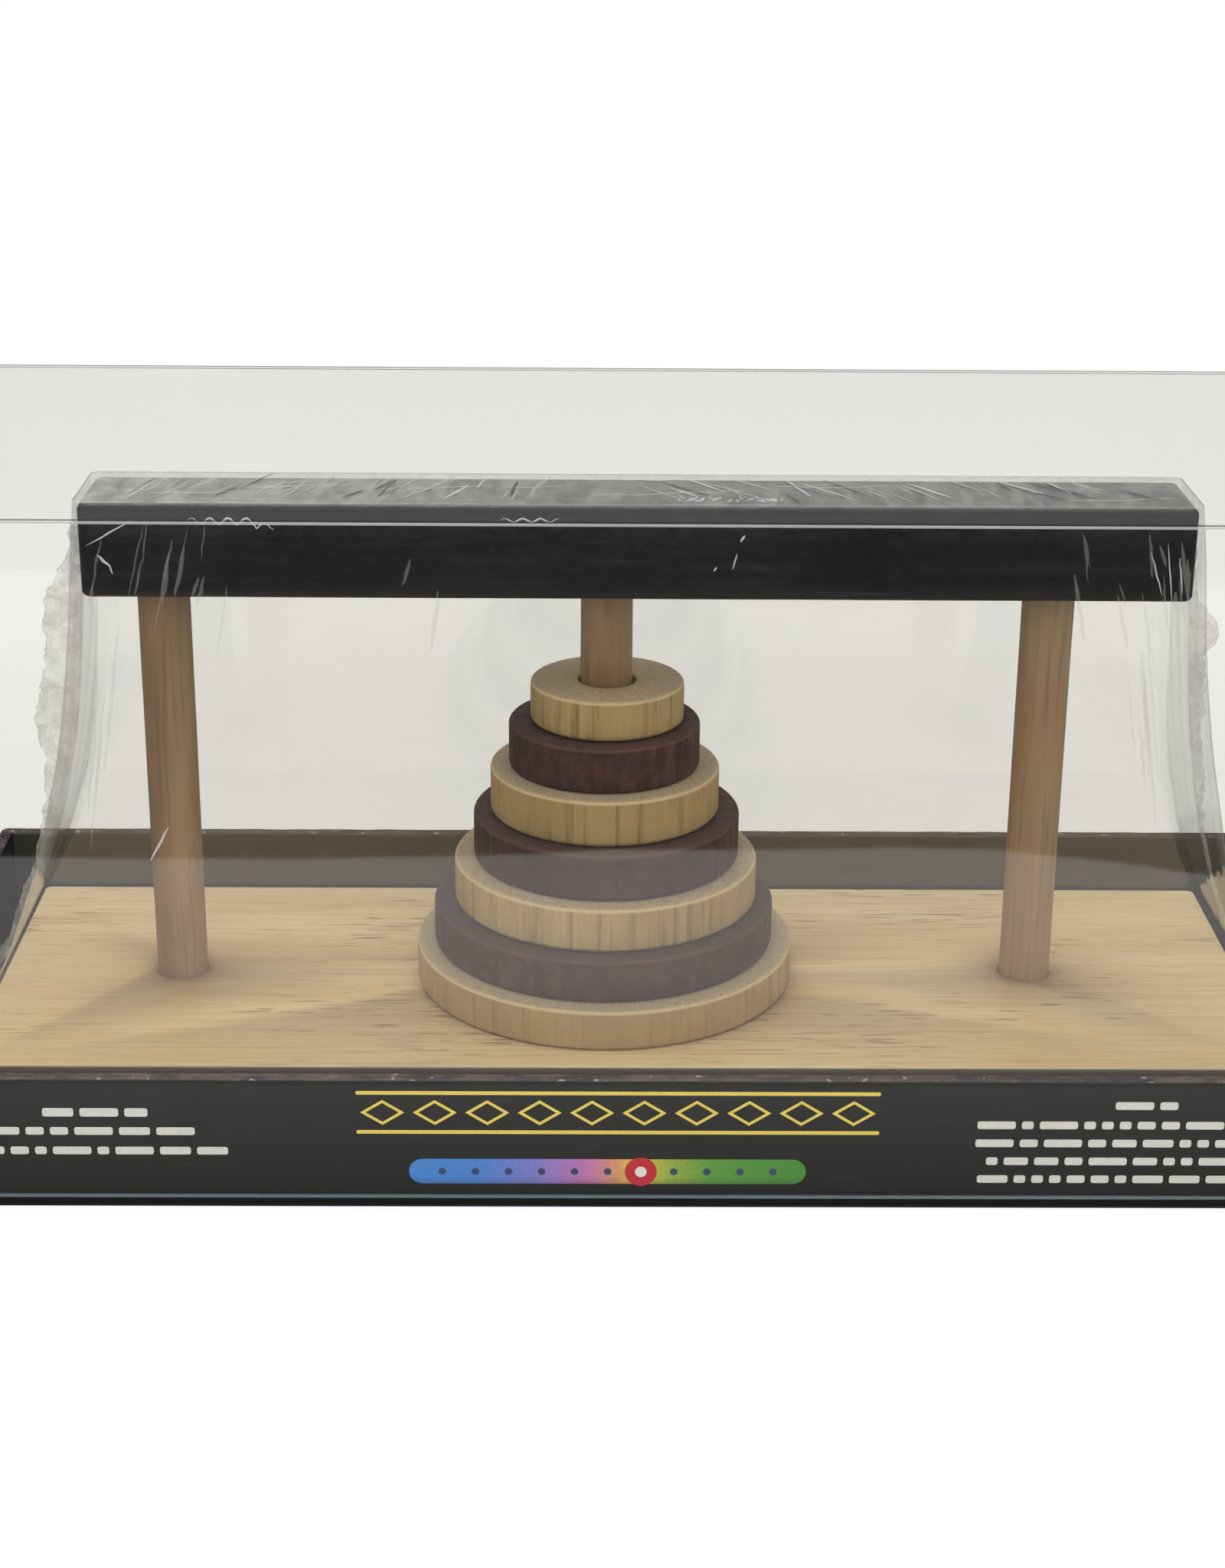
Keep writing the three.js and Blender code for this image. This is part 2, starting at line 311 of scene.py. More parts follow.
def clear_sheet(name, tint, rough, milk=0.0, milk_col=(0.8, 0.8, 0.8, 1), bump=None, f0=0.04, slope=1.0):
    """A clear sheet seen straight through: one face of it lets light through and reflects by angle."""
    s = Mat(name)
    nrm = bump(s) if bump else None
    fac = schlick(s, nrm, f0, slope)
    tr = s.add("ShaderNodeBsdfTransparent", {"Color": tint})
    gl = s.add("ShaderNodeBsdfGlossy", {"Color": (1, 1, 1, 1), "Roughness": rough})
    if nrm is not None:
        s.put(gl, "Normal", nrm)
    body = tr
    if milk:
        di = s.add("ShaderNodeBsdfDiffuse", {"Color": milk_col})
        m = s.add("ShaderNodeMixShader")
        v = milk(s) if callable(milk) else milk
        if isinstance(v, bpy.types.NodeSocket):
            s.nt.links.new(v, m.inputs[0])
        else:
            m.inputs[0].default_value = v
        s.nt.links.new(tr.outputs[0], m.inputs[1])
        s.nt.links.new(di.outputs[0], m.inputs[2])
        body = m
    mx = s.add("ShaderNodeMixShader")
    s.nt.links.new(fac, mx.inputs[0])
    s.nt.links.new(body.outputs[0], mx.inputs[1])
    s.nt.links.new(gl.outputs[0], mx.inputs[2])
    return s.finish(mx)


def cover_bump(s):
    wave = s.noise(s.coords((9, 9, 9)), 1.0, 2.0, 0.4)
    return s.bump(wave, 0.0016, 0.12)


def cover_haze(s):
    """Dust and fine scuffs on the lid."""
    scuff = s.noise(s.coords((60, 60, 900), (3, 3, 3)), 1.0, 3.0, 0.7)
    return s.range(scuff, 0.55, 0.85, 0.0, 0.012)


def film_bump(s):
    big = s.noise(s.coords((38, 38, 16), (1, 1, 1)), 1.0, 3.0, 0.5, 0.5)
    small = s.noise(s.coords((210, 210, 120), (4, 4, 4)), 1.0, 3.0, 0.55, 0.8)
    z = s.add("ShaderNodeSeparateXYZ", {"Vector": s.coords().outputs[0]}).outputs["Z"]
    near_bar = s.range(z, 0.104, 0.127, 0.02, 1.0)
    return s.bump(s.math("ADD", s.math("MULTIPLY", big, 0.55), s.math("MULTIPLY", s.math("MULTIPLY", small, near_bar), 0.5)),
                  0.0012, 0.5)


def film_milk_and_sheen(s):
    """Milk on the film: a painted sheen over the bar's top, stronger towards the left end, and a faint milkiness low
    down.
    """
    z = s.add("ShaderNodeSeparateXYZ", {"Vector": s.coords().outputs[0]}).outputs["Z"]
    n = s.noise(s.coords((300, 300, 60), (7, 7, 7)), 1.0, 3.0, 0.6)
    x = s.add("ShaderNodeSeparateXYZ", {"Vector": s.coords().outputs[0]}).outputs["X"]
    pull = s.noise(s.coords((210, 60, 60), (3, 3, 3)), 1.0, 3.0, 0.6, 0.6)
    side = s.range(x, -0.085, 0.01, 0.22, 0.11)
    top_sheen_amount = s.math("MULTIPLY", side, s.range(pull, 0.3, 0.7, 0.6, 1.35))
    low = s.range(z, 0.05, 0.09, 0.011, 0.001)
    # painted sheen: on the top face the film is whitened by position, standing in for the grazing reflection across the
    # bar's top
    top = s.math("MAXIMUM", s.math("MULTIPLY", s.range(z, 0.12735, 0.1276), top_sheen_amount), low)
    return s.math("MULTIPLY", top, s.range(n, 0.3, 0.7, 0.8, 1.2))


def seam_milk(s):
    n = s.noise(s.coords((260, 260, 190), (7, 7, 7)), 1.0, 4.0, 0.65, 0.6)
    return s.range(n, 0.36, 0.66, 0.07, 0.34)


def seam_bump(s):
    n = s.noise(s.coords((330, 330, 260), (2, 7, 7)), 1.0, 4.0, 0.6, 1.0)
    return s.bump(n, 0.0012, 0.8)


M_COVER = clear_sheet("clear_lid_sheet", (0.975, 0.977, 0.965, 1), 0.03, bump=cover_bump, milk=cover_haze, slope=0.18)
M_EDGE_DARK = clear_sheet("lid_bend_shade", (0.40, 0.40, 0.385, 1), 0.2, milk=0.10, milk_col=(0.05, 0.05, 0.05, 1), slope=0.1)
M_EDGE_LIGHT = clear_sheet("lid_bend_glint", (0.93, 0.93, 0.93, 1), 0.15, milk=0.36, milk_col=(0.72, 0.69, 0.76, 1), slope=0.2)
# painted glint: the lid's lowest strip is made milky grey-teal, standing in for the light line along its cut rim
M_RIM_GLINT = clear_sheet("lid_cut_rim_glint", (0.85, 0.9, 0.9, 1), 0.2, milk=0.34, milk_col=(0.24, 0.33, 0.36, 1))
M_FILM = clear_sheet("shrink_film_clear", (0.997, 0.995, 0.992, 1), 0.04, milk=film_milk_and_sheen, bump=film_bump, f0=0.05, slope=0.4)
M_SEAM = clear_sheet("shrink_film_gathered", (0.975, 0.968, 0.955, 1), 0.16, milk=seam_milk,
                     milk_col=(0.72, 0.68, 0.64, 1), bump=seam_bump, f0=0.05, slope=0.5)
# the crease's milky white is partly the film whitening where it is pinched and partly a painted glint
M_GLINT_CREASE = clear_sheet("shrink_film_crease", (0.96, 0.96, 0.96, 1), 0.12, milk=0.42, milk_col=(0.86, 0.84, 0.88, 1), f0=0.08, slope=0.4)
M_CREASE_DARK = clear_sheet("shrink_film_crease_shade", (0.66, 0.66, 0.67, 1), 0.2, milk=0.05, milk_col=(0.1, 0.1, 0.1, 1), f0=0.04, slope=0.2)
M_CREASE_FAINT = clear_sheet("shrink_film_crease_faint", (0.985, 0.985, 0.98, 1), 0.25, milk=0.045,
                             milk_col=(0.80, 0.80, 0.82, 1), f0=0.045, slope=0.2)
# partly painted highlight: whitish streaks on the pulls, standing in for light caught by the wrinkles
M_CREASE_SOFT = clear_sheet("shrink_film_crease_soft", (0.98, 0.98, 0.98, 1), 0.2, milk=0.18,
                            milk_col=(0.80, 0.80, 0.78, 1), f0=0.05, slope=0.3)


# ---------------------------------------------------------------- mesh helpers
def make(name, verts, faces, mats, body, smooth=True, mat_of=None, angle=40.0):
    me = bpy.data.meshes.new(name)
    me.from_pydata([tuple(c * MM for c in v) for v in verts], [], faces)
    me.validate()
    me.update()
    o = bpy.data.objects.new(name, me)
    bpy.context.scene.collection.objects.link(o)
    for m in mats if isinstance(mats, (list, tuple)) else [mats]:
        me.materials.append(m)
    if mat_of:
        for p in me.polygons:
            p.material_index = mat_of(p)
    bm = bmesh.new()
    bm.from_mesh(me)
    bmesh.ops.recalc_face_normals(bm, faces=bm.faces)
    for f in bm.faces:
        f.smooth = smooth
    if smooth:
        lim = math.radians(angle)
        for e in bm.edges:
            if len(e.link_faces) == 2 and e.calc_face_angle(0.0) > lim:
                e.smooth = False
    bm.to_mesh(me)
    bm.free()
    me.update()
    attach(o, body)
    return o


def apply_modifiers(o):
    dg = bpy.context.evaluated_depsgraph_get()
    me = bpy.data.meshes.new_from_object(o.evaluated_get(dg))
    old = o.data
    o.modifiers.clear()
    o.data = me
    bpy.data.meshes.remove(old)


def loops_to_mesh(loops, close_path=False, caps=False):
    """Quads between closed loops of equal length."""
    n = len(loops[0])
    verts = [p for l in loops for p in l]
    faces = []
    rows = len(loops)
    for i in range(rows if close_path else rows - 1):
        a, b = i * n, ((i + 1) % rows) * n
        for k in range(n):
            faces.append((a + k, a + (k + 1) % n, b + (k + 1) % n, b + k))
    if caps:
        faces.append(tuple(range(n - 1, -1, -1)))
        faces.append(tuple((rows - 1) * n + k for k in range(n)))
    return verts, faces


def round_rect(x0, x1, y0, y1, r, nx, ny, nc):
    """Rounded rectangle, counter-clockwise from the front left, as (x, y)."""
    pts = []
    for k in range(nx):
        pts.append((x0 + r + (x1 - x0 - 2 * r) * k / (nx - 1), y0))
    for k in range(1, nc):
        a = math.pi / 2 * k / nc
        pts.append((x1 - r + r * math.sin(a), y0 + r - r * math.cos(a)))
    for k in range(ny):
        pts.append((x1, y0 + r + (y1 - y0 - 2 * r) * k / (ny - 1)))
    for k in range(1, nc):
        a = math.pi / 2 * k / nc
        pts.append((x1 - r + r * math.cos(a), y1 - r + r * math.sin(a)))
    for k in range(nx):
        pts.append((x1 - r - (x1 - x0 - 2 * r) * k / (nx - 1), y1))
    for k in range(1, nc):
        a = math.pi / 2 * k / nc
        pts.append((x0 + r - r * math.sin(a), y1 - r + r * math.cos(a)))
    for k in range(ny):
        pts.append((x0, y1 - r - (y1 - y0 - 2 * r) * k / (ny - 1)))
    for k in range(1, nc):
        a = math.pi / 2 * k / nc
        pts.append((x0 + r - r * math.cos(a), y0 + r - r * math.sin(a)))
    return pts


def wob(x, y, z, f):
    return noise.noise(Vector((x * f, y * f, z * f)))


# ---------------------------------------------------------------- disks
DISK_T = [8.18, 9.12, 9.42, 9.55, 8.95, 8.71, 8.2]
DISK_SHIFT = [0.2, -0.3, -0.15, 0.2, 0.1, -0.25, 0.0]
z = BT
for i in range(7, 0, -1):
    lo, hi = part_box(f"disk_{i}")
    z0, z1 = lo.z / MM, hi.z / MM
    R = (hi.x - lo.x) / 2 / MM
    cx, cy = (hi.x + lo.x) / 2 / MM, (hi.y + lo.y) / 2 / MM
    rb, e = 5.6, 0.85
    prof = []
    for k in range(7):                       # lower rim
        a = math.pi / 2 * k / 6
        prof.append((R - e + e * math.sin(a), z0 + e - e * math.cos(a)))
    prof.append((R, z0 + e + 0.3))
    for k in range(5):
        prof.append((R, z0 + e + 0.3 + (z1 - z0 - 2 * e - 0.6) * (k + 1) / 6))
    prof.append((R, z1 - e - 0.3))
    for k in range(7):                       # upper rim
        a = math.pi / 2 * k / 6
        prof.append((R - e + e * math.cos(a), z1 - e + e * math.sin(a)))
    n_in = 10
    for k in range(1, n_in):
        t = k / n_in
        prof.append((R - e - (R - e - rb - 0.5) * t, z1))
    prof += [(rb + 0.5, z1), (rb + 0.12, z1 - 0.16), (rb, z1 - 0.55)]
    prof += [(rb, z0 + 0.55), (rb + 0.12, z0 + 0.16), (rb + 0.5, z0)]
    for k in range(1, 5):
        prof.append((rb + 0.5 + (R - e - rb - 0.5) * k / 5, z0))
    seg = 160
    loops = []
    for (r, zz) in prof:
        ring = []
        for q in range(seg):
            a = 2 * math.pi * q / seg
            rr = r
            if r > R - 0.5 * e:              # sanded by hand: the rim wavers a little
                rr = r - 0.05 - 0.05 * wob(math.cos(a) * R, math.sin(a) * R, i * 9 + zz * 0.15, 0.09)
            ring.append((cx + rr * math.cos(a), cy + rr * math.sin(a), zz))
        loops.append(ring)
    v, f = loops_to_mesh(loops, close_path=True)
    o = make(f"disk_{i}_turned", v, f, light_wood(i) if i % 2 else dark_wood(i), f"ring_{i}",
             angle=50)
    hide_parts(f"disk_{i}")

# ---------------------------------------------------------------- posts
for name in ("left_post", "centre_post", "right_post"):
    lo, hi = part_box(name)
    cx, cy = (hi.x + lo.x) / 2 / MM, (hi.y + lo.y) / 2 / MM
    z0, z1 = lo.z / MM, hi.z / MM
    R = 5.05
    prof = [(0.0, z0), (R - 0.7, z0), (R - 0.2, z0 + 0.3), (R, z0 + 0.9)]
    steps = 40
    prof += [(R, z0 + 0.9 + (z1 - z0 - 1.8) * k / steps) for k in range(1, steps)]
    prof += [(R, z1 - 0.9), (R - 0.12, z1 - 0.45), (R - 0.4, z1 - 0.14), (R - 0.8, z1), (0.0, z1)]
    seg = 72
    verts, faces = [], []
    rows = prof[1:-1]
    for (r, zz) in rows:
        for q in range(seg):
            a = 2 * math.pi * q / seg
            rr = r - (0.05 + 0.045 * wob(cx + math.cos(a) * 6, math.sin(a) * 6, zz, 0.07)) * (1 if zz > BT - 1 else 0)
            verts.append((cx + rr * math.cos(a), cy + rr * math.sin(a), zz))
    for k in range(len(rows) - 1):
        for q in range(seg):
            faces.append((k * seg + q, k * seg + (q + 1) % seg, (k + 1) * seg + (q + 1) % seg, (k + 1) * seg + q))
    faces.append(tuple(range(seg - 1, -1, -1)))
    faces.append(tuple((len(rows) - 1) * seg + q for q in range(seg)))
    o = make(f"{name}_dowel", verts, faces, M_POST, "puzzle_base", angle=50)
    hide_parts(name)

# ---------------------------------------------------------------- board, with its three blind holes
lo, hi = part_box("base_board")
x0, x1, y0, y1, z0, z1 = (lo.x / MM, hi.x / MM, lo.y / MM, hi.y / MM, lo.z / MM, hi.z / MM)
e = 0.8
rings = []
for d, zz in [(e, z0), (e * 0.3, z0 + e * 0.3), (0, z0 + e), (0, z1 - e), (e * 0.08, z1 - e * 0.62), (e * 0.3, z1 - e * 0.3),
              (e * 0.62, z1 - e * 0.08), (e, z1)]:
    rings.append([(px, py, zz) for px, py in round_rect(x0 + d, x1 - d, y0 + d, y1 - d, 1.0, 24, 10, 4)])
v, f = loops_to_mesh(rings, caps=True)
board = make("board_block", v, f, M_BOARD, "puzzle_base", angle=50)
cutters = []
for name in ("left_post", "centre_post", "right_post"):
    lo2, hi2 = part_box(name)
    cx, cy = (hi2.x + lo2.x) / 2, (hi2.y + lo2.y) / 2
    bm = bmesh.new()
    bmesh.ops.create_cone(bm, cap_ends=True, segments=72, radius1=5.2 * MM, radius2=5.2 * MM, depth=0.036,
                          matrix=Matrix.Translation((cx, cy, BT * MM)))
    me = bpy.data.meshes.new("hole")
    bm.to_mesh(me)
    bm.free()
    c = bpy.data.objects.new("hole", me)
    bpy.context.scene.collection.objects.link(c)
    md = board.modifiers.new("hole", "BOOLEAN")
    md.operation, md.object, md.solver = "DIFFERENCE", c, "EXACT"
    cutters.append(c)
bpy.context.view_layer.update()
apply_modifiers(board)
for c in cutters:
    bpy.data.objects.remove(c)
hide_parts("base_board")

# ---------------------------------------------------------------- packing bar
lo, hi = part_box("packing_bar")
x0, x1, y0, y1, z0, z1 = (lo.x / MM, hi.x / MM, lo.y / MM, hi.y / MM, lo.z / MM, hi.z / MM)
e = 1.3
prof = []
for k in range(6):
    a = math.pi / 2 * k / 5
    prof.append((e - e * math.sin(a), z0 + e - e * math.cos(a)))
for k in range(1, 6):
    prof.append((0.0, z0 + e + (z1 - z0 - 2 * e) * k / 6))
for k in range(6):
    a = math.pi / 2 * k / 5
    prof.append((e - e * math.cos(a), z1 - e + e * math.sin(a)))
rings = []
for d, zz in prof:
    ring = []
    for px, py in round_rect(x0 + d, x1 - d, y0 + d, y1 - d, 1.3 - min(d, 1.0) * 0.6, 60, 8, 5):
        w = 0.10 * (wob(px, py, zz, 0.045) - 0.6)
        ring.append((px - w * (1 if px < PX - 90 else -1 if px > PX + 100 else 0), py - w * (1 if py < PY else -1), zz))
    rings.append(ring)
v, f = loops_to_mesh(rings, caps=True)
bar = make("packing_bar_block", v, f, black_bar(), "bar", angle=60)
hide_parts("packing_bar")

# ---------------------------------------------------------------- tray of folded card
TL, TW, TH, TT, TF = 284.0, 126.7, 27.1, 3.0, 1.5
prof = [(0.6, 0.0), (0.12, 0.12), (0.0, 0.5), (0.0, 9.0), (0.0, 18.0), (0.0, 25.9), (0.06, 26.4), (0.25, 26.8), (0.6, 27.03), (1.05, 27.1),
        (1.35, 27.04), (1.5, 26.86), (1.65, 27.04), (1.95, 27.1), (2.4, 27.06), (2.75, 26.9), (2.94, 26.5), (3.0, 25.9), (3.0, 14.0), (3.0, 1.9), (3.15, 1.6), (3.5, 1.5)]
rings = []
for d, zz in prof:
    ring = []
    for px, py in round_rect(-TL / 2 + d, TL / 2 - d, -TW / 2 + d, TW / 2 - d, max(1.4 - 0.3 * d, 0.4), 90, 40, 4):
        dz = 0.0
        if zz > 26:                          # the fold is slightly dented along its length
            dz = -0.10 + 0.09 * wob(px, py, 0, 0.16) + 0.05 * wob(px, py, 5, 0.7)
        ring.append((px, py, min(zz + dz, TH)))
    rings.append(ring)
v, f = loops_to_mesh(rings, caps=True)
M_CARD = black_card()
tray = make("tray_folded_card", v, f, M_CARD, "tray", angle=55)
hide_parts("display_tray")


# ---------------------------------------------------------------- print on the tray's front
def disc(cx, cz, rx, rz, n=40, tilt=0.0):
    out = []
    for k in range(n):
        a = 2 * math.pi * k / n
        u, w = rx * math.cos(a), rz * math.sin(a)
        out.append((cx + u * math.cos(tilt) - w * math.sin(tilt), cz + u * math.sin(tilt) + w * math.cos(tilt)))
    return out


def rrect(x0, x1, z0, z1, r, n=5):
    r = min(r, (x1 - x0) / 2 - 1e-4, (z1 - z0) / 2 - 1e-4)
    out = []
    for cx, cz, a0 in ((x1 - r, z0 + r, -90), (x1 - r, z1 - r, 0), (x0 + r, z1 - r, 90), (x0 + r, z0 + r, 180)):
        for k in range(n + 1):
            a = math.radians(a0 + 90 * k / n)
            out.append((cx + r * math.cos(a), cz + r * math.sin(a)))
    return out


def plaque(name, shapes, y_back, thick, mat, rings=()):
    """Flat inked shapes standing on the card's front, each a closed sliver."""
    verts, faces = [], []
    for poly in shapes:
        b, n = len(verts), len(poly)
        verts += [(px, y_back, pz) for px, pz in poly] + [(px, y_back - thick, pz) for px, pz in poly]
        faces.append(tuple(b + k for k in range(n)))
        faces.append(tuple(b + n + k for k in reversed(range(n))))
        faces += [(b + k, b + n + k, b + n + (k + 1) % n, b + (k + 1) % n) for k in range(n)]
    for outer, inner in rings:
        b, n = len(verts), len(outer)
        for y in (y_back, y_back - thick):
            verts += [(px, y, pz) for px, pz in outer] + [(px, y, pz) for px, pz in inner]
        for k in range(n):
            j = (k + 1) % n
            ob, ib, of, nf = b, b + n, b + 2 * n, b + 3 * n
            faces += [(ob + k, ob + j, ib + j, ib + k), (of + k, nf + k, nf + j, of + j),
                      (ob + k, of + k, of + j, ob + j), (ib + k, ib + j, nf + j, nf + k)]
    return make(name, verts, faces, mat, "tray", smooth=False)


YF = -TW / 2
panel = plaque("front_print_ground", [rrect(-TL / 2 + 1.2, TL / 2 - 1.2, 0.7, 25.7, 0.3)], YF - 0.005, 0.05,
               print_ink("print_ground", (0.0105, 0.0105, 0.0095, 1), 0.4, 0.12))

yellow = print_ink("print_yellow", lin(240, 214, 92))
ZB, ZC = 15.7, 24.6          # bottom and top of the ornament band
XB, XE = -51.0, 47.0         # its two ends
shapes, rings = [], []


def lozenge(cx, cz, rx, rz, t):
    """A diamond outline of width t."""
    k = 1 - t / rx
    rings.append(([(cx + rx, cz), (cx, cz + rz), (cx - rx, cz), (cx, cz - rz)],
                  [(cx + rx * k, cz), (cx, cz + rz * k), (cx - rx * k, cz), (cx, cz - rz * k)]))


# a plain border: one even row of equal lozenges between two thin rules
N_LOZ = 10
pitch = (XE - XB) / N_LOZ
for k in range(N_LOZ):
    lozenge(XB + pitch * (k + 0.5), (ZB + ZC) / 2, pitch * 0.42, 2.6, 1.0)
shapes += [rrect(XB, XE, ZB, ZB + 0.75, 0.3), rrect(XB, XE, ZC - 0.75, ZC, 0.3)]
plaque("front_ornament", shapes, YF - 0.06, 0.04, yellow, rings)

capsule = plaque("scale_capsule", [rrect(-41.3, 33.5, 5.2, 10.4, 2.6, 10)], YF - 0.06, 0.04, gradient_ink())
# even dots along the capsule, and a plain round bead
marks = [disc(-41.3 + 74.8 * (k + 1) / 12, 7.8, 0.72, 0.72, 20) for k in range(11)]
plaque("scale_marks", marks, YF - 0.105, 0.03, print_ink("print_scale_marks", lin(56, 72, 110), 0.4))
plaque("scale_bead", [disc(-41.3 + 74.8 * 7 / 12, 7.8, 3.0, 3.0, 48)], YF - 0.145, 0.04, print_ink("print_red", lin(206, 34, 52), 0.3, 0.1))
plaque("scale_bead_mark", [disc(-41.3 + 74.8 * 7 / 12, 7.8, 1.1, 1.1, 32)], YF - 0.195, 0.03,
       print_ink("print_white_mark", lin(240, 236, 232)))


def blank_line(xa, xb, zc, h, rng):
    """One line of small print, as blank word-long bars."""
    out, x = [], xa
    while x < xb - 1.5:
        w = min(rng.choice((2.2, 3.4, 4.6, 5.8, 7.2)), xb - x)
        if w > 1.2:
            out.append(rrect(x, x + w, zc - h / 2, zc + h / 2, 0.45, 3))
        x += w + 1.15
    return out


rng = random.Random(11)
white = print_ink("print_white", lin(222, 220, 216))
left = blank_line(-109.5, -89.9, 20.0, 1.75, rng)
left += blank_line(-136.5, -79.4, 16.1, 1.6, rng) + blank_line(-136.5, -74.6, 12.0, 1.6, rng)
plaque("small_print_left", left, YF - 0.06, 0.04, white)
right = blank_line(91.1, 103.6, 21.9, 1.6, rng)
right += blank_line(65.4, 135.5, 17.8, 1.6, rng) + blank_line(65.2, 134.0, 14.0, 1.6, rng)
right += blank_line(67.4, 136.0, 10.2, 1.6, rng) + blank_line(65.9, 131.0, 6.4, 1.6, rng)
plaque("small_print_right", right, YF - 0.06, 0.04, white)

# ---------------------------------------------------------------- shrink film
FT = 0.30
RINGS = [(-12.0, -121.3, 129.1, -43.9, 43.1, 0.8), (0.5, -121.3, 129.1, -43.9, 43.1, 0.8),
         (8.0, -116.6, 125.2, -41.2, 40.4, 2.0), (20.0, -111.0, 120.6, -37.0, 36.3, 3.0),
         (35.0, -106.0, 116.6, -32.0, 31.5, 3.4), (52.0, -102.4, 113.8, -26.5, 26.2, 3.2),
         (68.0, -100.7, 112.3, -21.4, 21.2, 2.6), (81.0, -99.7, 111.4, -17.2, 17.1, 1.6),
         (99.6, -99.2, 110.9, -11.2, 11.2, 0.8)]
zs = np.array([r[0] for r in RINGS])
fine_z = np.arange(-12.0, 99.61, 0.4)
cols = []
for c in range(1, 6):
    raw = np.interp(fine_z, zs, [r[c] for r in RINGS])
    pad = 24
    ext = np.concatenate([np.full(pad, raw[0]), raw, raw[-1] + (raw[-1] - raw[-2]) * np.arange(1, pad + 1)])
    ker = np.exp(-0.5 * (np.arange(-pad, pad + 1) / 6.0) ** 2)
    sm = np.convolve(ext, ker / ker.sum(), mode="valid")
    w = np.clip((fine_z + 1.0) / 8.0, 0, 1)          # the wrap on the board's side stays straight
    w = w * w * (3 - 2 * w)
    cols.append(raw * (1 - w) + sm * w)


def film_at(zr):
    return [float(np.interp(zr, fine_z, c)) for c in cols]


NX, NY, NC = 130, 26, 5
levels = [-12.0, -8.0, -4.0, -1.0, 0.5] + list(np.linspace(2.0, 84.0, 52)) + list(np.linspace(85.0, 99.0, 14)) + [99.6]
film_loops = []
for zr in levels:
    l, r, f_, b, cr = film_at(zr)
    ring = []
    flat = min(1.0, max(0.0, (zr - 2) / 12)) * min(1.0, max(0.0, (99.0 - zr) / 5))
    for px, py in round_rect(l, r, f_, b, max(cr, 0.6), NX, NY, NC):
        nx_, ny_ = 0.0, 0.0
        if py <= f_ + 0.01: ny_ = -1
        elif py >= b - 0.01: ny_ = 1
        if px <= l + 0.01: nx_ = -1
        elif px >= r - 0.01: nx_ = 1
        # long soft waves, and upright gathers towards both ends
        near_end = max(0.0, 1 - min(px - l, r - px) / 34.0)
        a = 0.16 * wob(px, py, zr, 0.03) + 0.07 * near_end * math.sin(px * 0.95 + 1.3 * wob(px, py, zr, 0.05) + zr * 0.045)
        if nx_:
            a = 0.18 * wob(px, py, zr, 0.05) + 0.08 * math.sin(py * 0.7 + 2 * wob(px, py, zr, 0.04))
        a = (a + 0.28) * flat
        ring.append((PX + px + nx_ * (a + FT), PY + py + ny_ * (a + FT), BT + zr + (FT if zr > 99.5 else 0)))
    film_loops.append(ring)
l, r, f_, b, cr = film_at(99.6)
for d in (0.35, 0.9, 1.8, 3.0, 4.4, 5.9, 7.4, 8.9, 10.2, 11.05):
    ring = []
    for px, py in round_rect(l + d, r - d, f_ + d, b - d, 0.05, NX, NY, NC):
        s_ = min(1.0, d / 2.0)
        # slanting pulls across the bar's top
        a = 0.16 + 0.22 * wob(px * 0.9 + py * 1.6, py * 0.35, 3.0, 0.22) + 0.10 * math.sin(px * 1.4 - py * 1.1 + 3 * wob(px, py, 9, 0.08))
        ring.append((PX + px, PY + py, BT + 99.6 + FT + max(0.0, a) * s_))
    film_loops.append(ring)
v, f = loops_to_mesh(film_loops)
n = len(film_loops[0])
last = (len(film_loops) - 1) * n
# close the slit that is left along the middle of the top
front = [last + k for k in range(NX)]
start_back = NX + (NC - 1) + NY + (NC - 1)
back = [last + start_back + k for k in range(NX)][::-1]
for k in range(NX - 1):
    f.append((front[k], front[k + 1], back[k + 1], back[k]))
right_side = [last + k for k in range(NX - 1, start_back + 1)]
f.append(tuple(right_side))
left_side = [last + k for k in range(start_back + NX - 1, n)] + [last]
f.append(tuple(left_side))
film = make("film_bag", v, f, M_FILM, "film", angle=180)
sol = film.modifiers.new("thickness", "SOLIDIFY")
sol.thickness, sol.offset = 0.10 * MM, -1.0
bpy.context.view_layer.update()
apply_modifiers(film)
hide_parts("shrink_film")

# crumpled seams at both ends, in the plane of the posts
SEAM_L = [(93, -102.0), (85.9, -103.4), (78.7, -107.5), (72, -108.7), (68.6, -108.2), (58.4, -109.9), (53.8, -111.4), (48, -111.1),
          (45.4, -109.7), (35.8, -110.7), (29.7, -111.8), (22.7, -113.4), (17.4, -116.2), (9.4, -118.6), (4.0, -121.6), (-2, -123.6), (-11, -123.8)]
SEAM_R = [(93, 112.6), (85, 113.0), (79.5, 113.4), (74.5, 117.6), (71.7, 118.7), (66.7, 116.0), (60.4, 117.0), (50.9, 116.7), (42, 118.2),
          (31.5, 118.7), (23.6, 120.9), (18.3, 121.8), (13, 122.9), (7.6, 126.2), (3, 129.6), (-2, 131.2), (-11, 131.4)]


